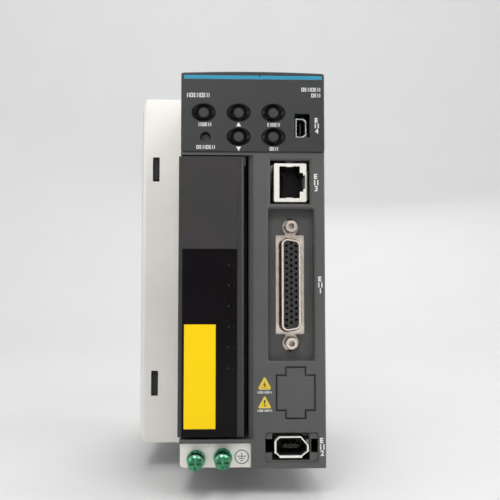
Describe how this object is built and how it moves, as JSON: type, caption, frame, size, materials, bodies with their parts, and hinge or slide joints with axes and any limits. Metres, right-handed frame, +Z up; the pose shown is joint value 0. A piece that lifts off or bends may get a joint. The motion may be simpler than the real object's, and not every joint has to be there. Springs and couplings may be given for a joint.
{
  "type": "servo drive",
  "caption": "Wall-mounted servo drive with a hinged power terminal cover, key panel, signal, encoder and network sockets, ground screws and a finned heat sink.",
  "frame": {"origin": "on the rear mounting face, at the middle of the plastic body's width and height", "axes": "+X to the right seen from the front, +Y to the rear, +Z up; the front faces -Y"},
  "size_m": [0.0798, 0.1614, 0.182],
  "materials": {
    "aluminium_sheet": "brushed, satin",
    "sink_aluminium": "extruded, satin",
    "black_plastic": "moulded",
    "zinc_screw": "zinc plated",
    "housing_plastic": "fine spark texture",
    "panel_plastic": "fine spark texture",
    "blue_trim": "satin",
    "gloss_black": "gloss",
    "button_grey": "satin",
    "lamp_lens": "smoked lens",
    "circuit_board": "solder mask",
    "bright_steel": "tin plated",
    "nickel_flange": "nickel plated",
    "gold_contact": "gold plated",
    "yellow_label": "printed label",
    "green_metal": "green passivated",
    "brass_post": "plain",
    "capacitor_sleeve": "shrink sleeve",
    "relay_case": "moulded case",
    "choke_coat": "coated core",
    "grey_label": "blank printed label",
    "terminal_plastic": "moulded"
  },
  "bodies": {
    "chassis": {"blanking_plug": "housing_plastic", "board_standoffs": "brass_post", "brake_terminal": "terminal_plastic", "braking_resistor": "sink_aluminium", "bus_capacitors": "capacitor_sleeve", "button_dishes": "gloss_black", "case_screws": "zinc_screw", "charge_lamp": "lamp_lens", "charge_relay": "relay_case", "control_board": "circuit_board", "control_board_chips": "black_plastic", "control_panel": "panel_plastic", "display_module": "gloss_black", "earth_disc": "black_plastic", "encoder_contacts": "gold_contact", "encoder_insert": "black_plastic", "encoder_shell": "bright_steel", "fan_frame": "black_plastic", "fan_screws": "zinc_screw", "filter_choke": "choke_coat", "front_housing": "housing_plastic", "ground_plate": "aluminium_sheet", "ground_screws": "green_metal", "ground_washers": "green_metal", "heat_sink": "sink_aluminium", "heat_sink_shroud": "aluminium_sheet", "jack_posts": "bright_steel", "motor_terminal": "terminal_plastic", "mount_plate": "aluminium_sheet", "panel_board": "circuit_board", "power_board": "circuit_board", "power_module": "black_plastic", "rating_plate": "grey_label", "rear_housing": "housing_plastic", "rectifier_bridge": "black_plastic", "rj45_contacts": "gold_contact", "rj45_insert": "black_plastic", "rj45_shell": "bright_steel", "shroud_hooks": "black_plastic", "shroud_screws": "zinc_screw", "signal_socket_contacts": "gold_contact", "signal_socket_insulator": "black_plastic", "signal_socket_shell": "nickel_flange", "supply_terminal": "terminal_plastic", "tact_switches": "black_plastic", "terminal_clamps": "bright_steel", "trim_stripe": "blue_trim", "usb_insert": "black_plastic", "usb_shell": "bright_steel", "warning_triangles": "yellow_label"},
    "cover": {"power_cover": "housing_plastic", "hinge_pins": "black_plastic", "cover_sheet": "gloss_black", "cover_label": "yellow_label"},
    "mode_button": {"button_mode": "button_grey"},
    "up_button": {"button_up": "button_grey"},
    "shift_button": {"button_shift": "button_grey"},
    "down_button": {"button_down": "button_grey"},
    "set_button": {"button_set": "button_grey"},
    "fan": {"fan_rotor": "black_plastic"}
  },
  "joints": [
    {"name": "cover_hinge", "type": "hinge", "parent": "chassis", "child": "cover", "pos_m": [-0.0279, -0.148, -0.0111], "axis": [0, 0, -1], "range_deg": [0, 110]},
    {"name": "mode_press", "type": "slide", "parent": "chassis", "child": "mode_button", "axis": [0, 1, 0], "range_m": [0, 0.0006], "stiffness_N_per_m": 400, "springref_m": -0.0005},
    {"name": "up_press", "type": "slide", "parent": "chassis", "child": "up_button", "axis": [0, 1, 0], "range_m": [0, 0.0006], "stiffness_N_per_m": 400, "springref_m": -0.0005},
    {"name": "shift_press", "type": "slide", "parent": "chassis", "child": "shift_button", "axis": [0, 1, 0], "range_m": [0, 0.0006], "stiffness_N_per_m": 400, "springref_m": -0.0005},
    {"name": "down_press", "type": "slide", "parent": "chassis", "child": "down_button", "axis": [0, 1, 0], "range_m": [0, 0.0006], "stiffness_N_per_m": 400, "springref_m": -0.0005},
    {"name": "set_press", "type": "slide", "parent": "chassis", "child": "set_button", "axis": [0, 1, 0], "range_m": [0, 0.0006], "stiffness_N_per_m": 400, "springref_m": -0.0005},
    {"name": "fan_spin", "type": "hinge", "parent": "chassis", "child": "fan", "pos_m": [0, -0.06, 0.07065], "axis": [0, 0, 1], "continuous": true}
  ]
}
